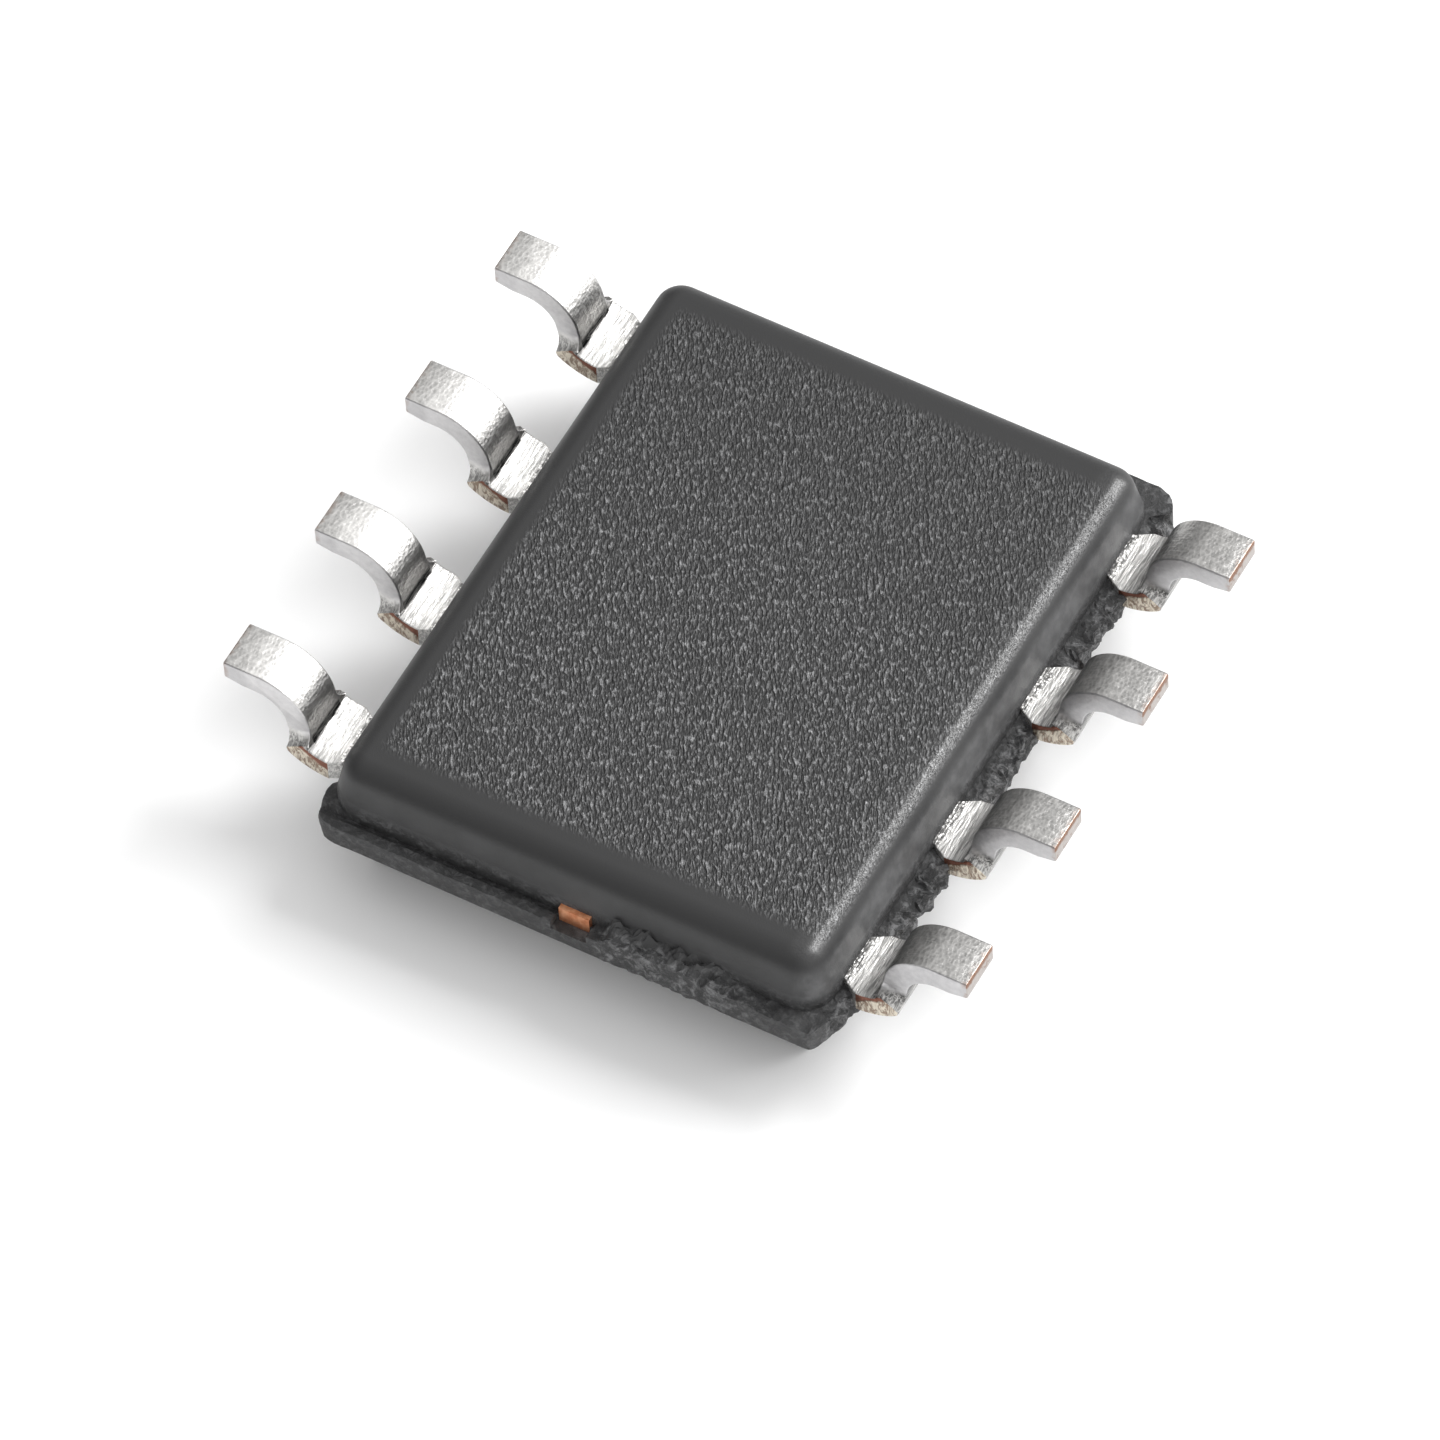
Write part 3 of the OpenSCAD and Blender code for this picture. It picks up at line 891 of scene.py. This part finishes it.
def clearNeck(piece, rampX, way):
    # cuts the strip down to the head, the neck and the widening shoulder
    neck, wide, clear = lead["neck"] / 2, lead["stub"] / 2, 0.1
    first, last = sorted((way * neck, way * (wide + clear)))
    low = (lead["fingerEnd"] - clear, first, lead["low"] - clear)
    high = (rampX, last, lead["low"] + lead["thickness"] + clear)
    cutter = addBlock("neckCutter", low, high)
    editMode()
    for place in (lead["headEnd"], lead["headEnd"] + lead["headTaper"], lead["side"]):
        cutAcross((place, 0, 0), (1, 0, 0))
    pickParts("VERT", lambda v: near(v.co.y, way * neck) and v.co.x < lead["headEnd"] + 0.01)
    bpy.ops.transform.translate(value=(0, way * (lead["head"] / 2 - neck), 0))
    pickParts("VERT", lambda v: near(v.co.y, way * neck) and near(v.co.x, rampX))
    bpy.ops.transform.translate(value=(0, way * (wide - neck), 0))
    objectMode()
    subtract(piece, cutter)


def drawShelf(piece, stubTop, creaseZ):
    # draws the stubs' inner corners out beside the leg, and closes the seams of the cuts
    def isBack(face):
        return face.normal.x < -0.9 and creaseZ < faceMiddle(face).z < 1.2

    makeActive(piece)
    editMode()
    level = stubTop.z + lead["fillet"] * 1.4
    start = lead["shelfFrom"]
    upward, sideways = (0, 0, 1), (0, 1, 0)
    cuts = (((0, 0, level), upward), ((0, start, 0), sideways), ((0, -start, 0), sideways))
    for point, normal in cuts:
        pickParts("FACE", isBack)
        bpy.ops.mesh.bisect(plane_co=point, plane_no=normal)
    beside = lead["width"] / 2 + 0.01
    pickParts("VERT", lambda v: (v.co - stubTop).xz.length < 0.006 and abs(v.co.y) > beside)
    bpy.ops.transform.translate(value=lead["shelf"])
    bpy.ops.mesh.select_all(action="SELECT")
    bpy.ops.mesh.remove_doubles(threshold=lead["mergeWithin"])
    bpy.ops.mesh.normals_make_consistent(inside=False)
    objectMode()


def finishShears(piece):
    # the sheared ends of the stubs and the toe get the second finish
    dress(piece.data, tinMaterial)
    piece.data.materials.append(cutMaterial)
    for face in piece.data.polygons:
        atStub = abs(face.normal.y) > 0.9 and near(abs(face.center.y), lead["stub"] / 2)
        atToe = face.normal.x > 0.9 and face.center.x > lead["toe"] - 0.01
        if atStub or atToe:
            face.material_index = 1


def placeLead(pattern, number):
    # leads 1 to 4 are at -X, 5 to 8 at +X, numbered round the package
    piece = pattern.copy()
    piece.data = pattern.data.copy()
    piece.name = piece.data.name = f"lead{number}"
    bpy.context.scene.collection.objects.link(piece)
    makeActive(piece)
    inRow = lead["inRow"]
    step = number - 1
    if number <= inRow:
        piece.rotation_euler = (0, 0, math.pi)
    else:
        step = 2 * inRow - number
    piece.location = (0, (step - (inRow - 1) / 2) * lead["pitch"], 0)
    bpy.ops.object.transform_apply(location=True, rotation=True, scale=True)
    finishPiece(piece, f"lead_{number}", lead["sharpest"])


leadNumbers = range(1, 2 * lead["inRow"] + 1)
pattern = makeLead()
for number in leadNumbers:
    placeLead(pattern, number)
bpy.data.objects.remove(pattern)
print("leads made")


# the pieces that keep their own shape get a finish
kept = {"die_paddle": copperMaterial, "die_attach": glueMaterial, "silicon_die": siliconMaterial}
for number in leadNumbers:
    kept[f"bond_wire_{number}"] = goldMaterial
for name, material in kept.items():
    dress(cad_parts[name].data, material)
print("inner pieces dressed:", len(kept))


# floor and light, in millimetres and watts
studio = {
    "floor": (0.94, 0.94, 0.94),
    "floorSize": 4,  # metres
    "tentAxis": (0.62, 0.1, 0.78),
    "tent": (0.1, 1.05),  # its dimmest and brightest
    "tentEdges": (-0.55, 0.75),
    "key": {"place": (60, 80, 114), "size": 80, "power": 0.14},
    "side": {"place": (84, 88, 56), "size": 70, "power": 0.07},
}


def addFloor():
    deselectAll()
    bpy.ops.mesh.primitive_plane_add(size=studio["floorSize"], location=(0, 0, 0))
    floor = bpy.context.object
    floor.name = "studioFloor"
    made = Finish("paleFloor")
    grain = made.grain(made.add("TexCoord", output="Object"), 60.0, 2.0)
    colour = made.blend(grain, studio["floor"], [part * 0.99 for part in studio["floor"]])
    dress(floor.data, made.surface(Base_Color=colour, Roughness=0.9))


def addSoftbox(name, values):
    place = Vector(values["place"]) * millimetre
    deselectAll()
    bpy.ops.object.light_add(type="AREA", location=place)
    light = bpy.context.object
    light.name = name
    light.rotation_euler = (-place).to_track_quat("-Z", "Y").to_euler()
    light.data.shape = "DISK"
    light.data.size = values["size"] * millimetre
    light.data.energy = values["power"]


def addWorld():
    # a light tent: brightest overhead and to the right, dim low on the left
    world = bpy.data.worlds.new("studioWorld")
    bpy.context.scene.world = world
    made = Finish("studioWorld", world)
    direction = made.add("TexCoord", output="Generated")
    axis = {0: direction, 1: studio["tentAxis"]}
    facing = made.add("VectorMath", {"operation": "DOT_PRODUCT"}, axis, "Value")
    dim, bright = studio["tent"]
    strength = dim + (bright - dim) * facing.ramp(*studio["tentEdges"])
    shade = made.add("Background", None, {"Color": (1, 1, 1, 1), "Strength": strength})
    made.add("OutputWorld", None, {"Surface": shade})


addFloor()
addSoftbox("keySoftbox", studio["key"])
addSoftbox("sideSoftbox", studio["side"])
addWorld()
bpy.context.scene.view_settings.view_transform = "Standard"
print("studio set")
